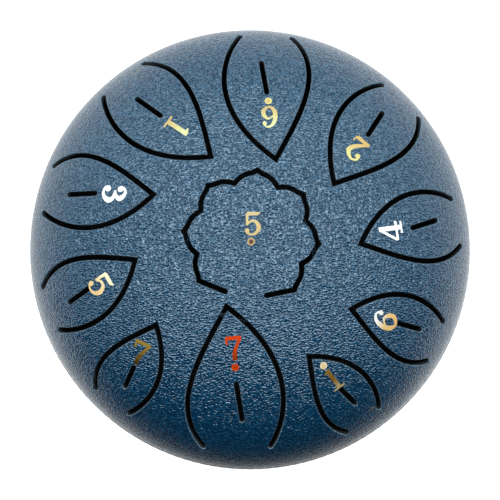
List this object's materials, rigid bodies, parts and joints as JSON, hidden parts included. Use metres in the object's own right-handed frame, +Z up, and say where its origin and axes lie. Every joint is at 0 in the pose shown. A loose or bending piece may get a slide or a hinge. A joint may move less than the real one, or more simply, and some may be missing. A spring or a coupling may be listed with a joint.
{
  "type": "steel tongue drum",
  "caption": "Small round steel tongue drum: two welded pressed shells, petal tongues cut in the dome and foil numerals, on rubber feet; played with mallets or fingers.",
  "frame": {"origin": "centre of the surface the feet stand on, under the middle of the drum", "axes": "+Z up through the crown of the dome, -Y towards the player, so the low 7 tongue is nearest to the player; +X to the player's right"},
  "size_m": [0.1504, 0.1504, 0.0865],
  "materials": {
    "dome_paint": "fine textured powder coat, slate blue, lighter on the crown and deeper blue towards the rim",
    "bowl_paint": "fine textured powder coat, slate blue",
    "weld_paint": "the same powder coat over a ground weld",
    "foot_rubber": "matt black rubber",
    "gold_foil": "bright gold transfer foil",
    "pale_gold_foil": "pale gold transfer foil",
    "white_foil": "bright silvery transfer foil",
    "bronze_foil": "dark gold transfer foil",
    "red_foil": "orange red transfer foil"
  },
  "bodies": {
    "drum_body": {"top_shell": "dome_paint", "bottom_shell": "bowl_paint", "weld_bead": "weld_paint", "foot_1": "foot_rubber", "foot_2": "foot_rubber", "foot_3": "foot_rubber"},
    "tongue_7_low": {"tongue_7_low": "dome_paint", "numeral_7_low": "red_foil", "dot_7_low": "red_foil"},
    "tongue_6_low": {"tongue_6_low": "dome_paint", "numeral_6_low": "pale_gold_foil", "dot_6_low": "pale_gold_foil"},
    "tongue_1": {"tongue_1": "dome_paint", "numeral_1": "pale_gold_foil"},
    "tongue_2": {"tongue_2": "dome_paint", "numeral_2": "gold_foil"},
    "tongue_3": {"tongue_3": "dome_paint", "numeral_3": "white_foil"},
    "tongue_4": {"tongue_4": "dome_paint", "numeral_4": "white_foil"},
    "tongue_5": {"tongue_5": "dome_paint", "numeral_5": "gold_foil"},
    "tongue_6": {"tongue_6": "dome_paint", "numeral_6": "gold_foil"},
    "tongue_7": {"tongue_7": "dome_paint", "numeral_7": "bronze_foil"},
    "tongue_1_high": {"tongue_1_high": "dome_paint", "numeral_1_high": "bronze_foil", "dot_1_high": "bronze_foil"},
    "tongue_5_low": {"tongue_5_low": "dome_paint", "numeral_5_low": "gold_foil", "dot_5_low": "gold_foil"}
  },
  "joints": [
    {"name": "flex_7_low", "type": "hinge", "parent": "drum_body", "child": "tongue_7_low", "pos_m": [-0.00433, -0.06662, 0.0627], "axis": [0.9967, -0.0018, 0.0806], "range_deg": [-1, 1], "stiffness_Nm_per_rad": 79.8},
    {"name": "flex_6_low", "type": "hinge", "parent": "drum_body", "child": "tongue_6_low", "pos_m": [0.00539, 0.06925, 0.05911], "axis": [-0.9961, 0.0275, 0.0839], "range_deg": [-1, 1], "stiffness_Nm_per_rad": 62.2},
    {"name": "flex_1", "type": "hinge", "parent": "drum_body", "child": "tongue_1", "pos_m": [-0.04204, 0.05479, 0.05974], "axis": [-0.7531, -0.6513, 0.0931], "range_deg": [-1, 1], "stiffness_Nm_per_rad": 67.6},
    {"name": "flex_2", "type": "hinge", "parent": "drum_body", "child": "tongue_2", "pos_m": [0.04996, 0.0475, 0.05998], "axis": [-0.7359, 0.6672, 0.1151], "range_deg": [-1, 1], "stiffness_Nm_per_rad": 68.3},
    {"name": "flex_3", "type": "hinge", "parent": "drum_body", "child": "tongue_3", "pos_m": [-0.06657, 0.0183, 0.05983], "axis": [-0.1988, -0.9744, 0.1054], "range_deg": [-1, 1], "stiffness_Nm_per_rad": 72.1},
    {"name": "flex_4", "type": "hinge", "parent": "drum_body", "child": "tongue_4", "pos_m": [0.06802, 0.00705, 0.06082], "axis": [-0.1871, 0.9744, 0.1249], "range_deg": [-1, 1], "stiffness_Nm_per_rad": 73.7},
    {"name": "flex_5", "type": "hinge", "parent": "drum_body", "child": "tongue_5", "pos_m": [-0.06554, -0.02122, 0.06009], "axis": [0.3761, -0.9194, 0.1153], "range_deg": [-1, 1], "stiffness_Nm_per_rad": 76.6},
    {"name": "flex_6", "type": "hinge", "parent": "drum_body", "child": "tongue_6", "pos_m": [0.06089, -0.03218, 0.06017], "axis": [0.3831, 0.9138, 0.1352], "range_deg": [-1, 1], "stiffness_Nm_per_rad": 73.2},
    {"name": "flex_7", "type": "hinge", "parent": "drum_body", "child": "tongue_7", "pos_m": [-0.04528, -0.05163, 0.06046], "axis": [0.7964, -0.5931, 0.1184], "range_deg": [-1, 1], "stiffness_Nm_per_rad": 77.6},
    {"name": "flex_1_high", "type": "hinge", "parent": "drum_body", "child": "tongue_1_high", "pos_m": [0.03702, -0.058, 0.06029], "axis": [0.78, 0.6094, 0.1425], "range_deg": [-1, 1], "stiffness_Nm_per_rad": 77.2},
    {"name": "flex_5_low", "type": "hinge", "parent": "drum_body", "child": "tongue_5_low", "pos_m": [-0.00126, -0.01761, 0.08434], "axis": [0.9956, -0.0941, -0.0025], "range_deg": [-1, 1], "stiffness_Nm_per_rad": 55.1}
  ]
}
